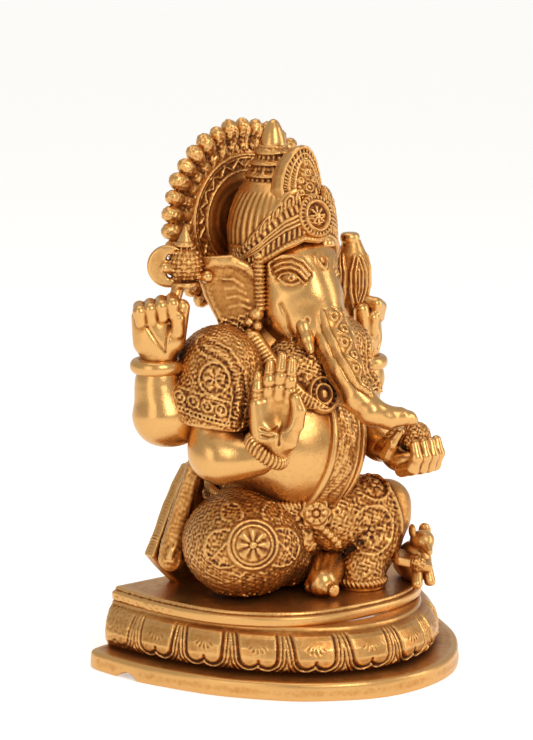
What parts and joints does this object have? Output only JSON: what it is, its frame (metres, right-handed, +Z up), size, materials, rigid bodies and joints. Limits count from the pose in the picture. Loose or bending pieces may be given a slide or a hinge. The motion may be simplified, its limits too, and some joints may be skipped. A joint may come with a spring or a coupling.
{
  "type": "seated deity statue",
  "caption": "Seated four-armed elephant-headed deity figure in cast brass on a D-shaped lotus base, with a round halo, tall crown, axe, lotus bud, sweet ball and mouse.",
  "frame": {"origin": "on the ground, at the centre of the D-shaped base plate's bounding box", "axes": "+Z up; the figure faces -Y; its own right hand is on the -X side"},
  "size_m": [0.213, 0.154, 0.3],
  "materials": {
    "brass": "polished highs with brown patina in the recesses"
  },
  "bodies": {
    "root": {"axe_blade": "brass", "axe_head": "brass", "axe_knob": "brass", "base_plate": "brass", "belly_sash": "brass", "belt_clasp": "brass", "bud_knob": "brass", "crown_dome": "brass", "crown_finial": "brass", "crown_panel": "brass", "crown_rim": "brass", "crown_rosette": "brass", "crown_tiers": "brass", "halo_beads": "brass", "halo_disc": "brass", "halo_ring": "brass", "halo_stay": "brass", "head": "brass", "left_ear": "brass", "left_front_arm": "brass", "left_front_bangle": "brass", "left_front_hand": "brass", "left_hem": "brass", "left_leg": "brass", "left_rear_arm": "brass", "left_rear_bangle": "brass", "left_rear_hand": "brass", "left_scarf_end": "brass", "left_shawl_tail": "brass", "left_shoulder_cape": "brass", "left_tusk": "brass", "lotus_band": "brass", "lotus_bud": "brass", "mouse_body": "brass", "mouse_head": "brass", "mouse_sweet": "brass", "necklace": "brass", "pendant": "brass", "right_ear": "brass", "right_foot": "brass", "right_front_arm": "brass", "right_front_bangle": "brass", "right_front_hand": "brass", "right_leg": "brass", "right_rear_arm": "brass", "right_rear_bangle": "brass", "right_rear_hand": "brass", "right_scarf_end": "brass", "right_shawl_tail": "brass", "right_shoulder_cape": "brass", "right_tusk": "brass", "seat_slab": "brass", "sweet_ball": "brass", "torso": "brass", "trunk": "brass", "waist_belt": "brass"}
  },
  "joints": []
}
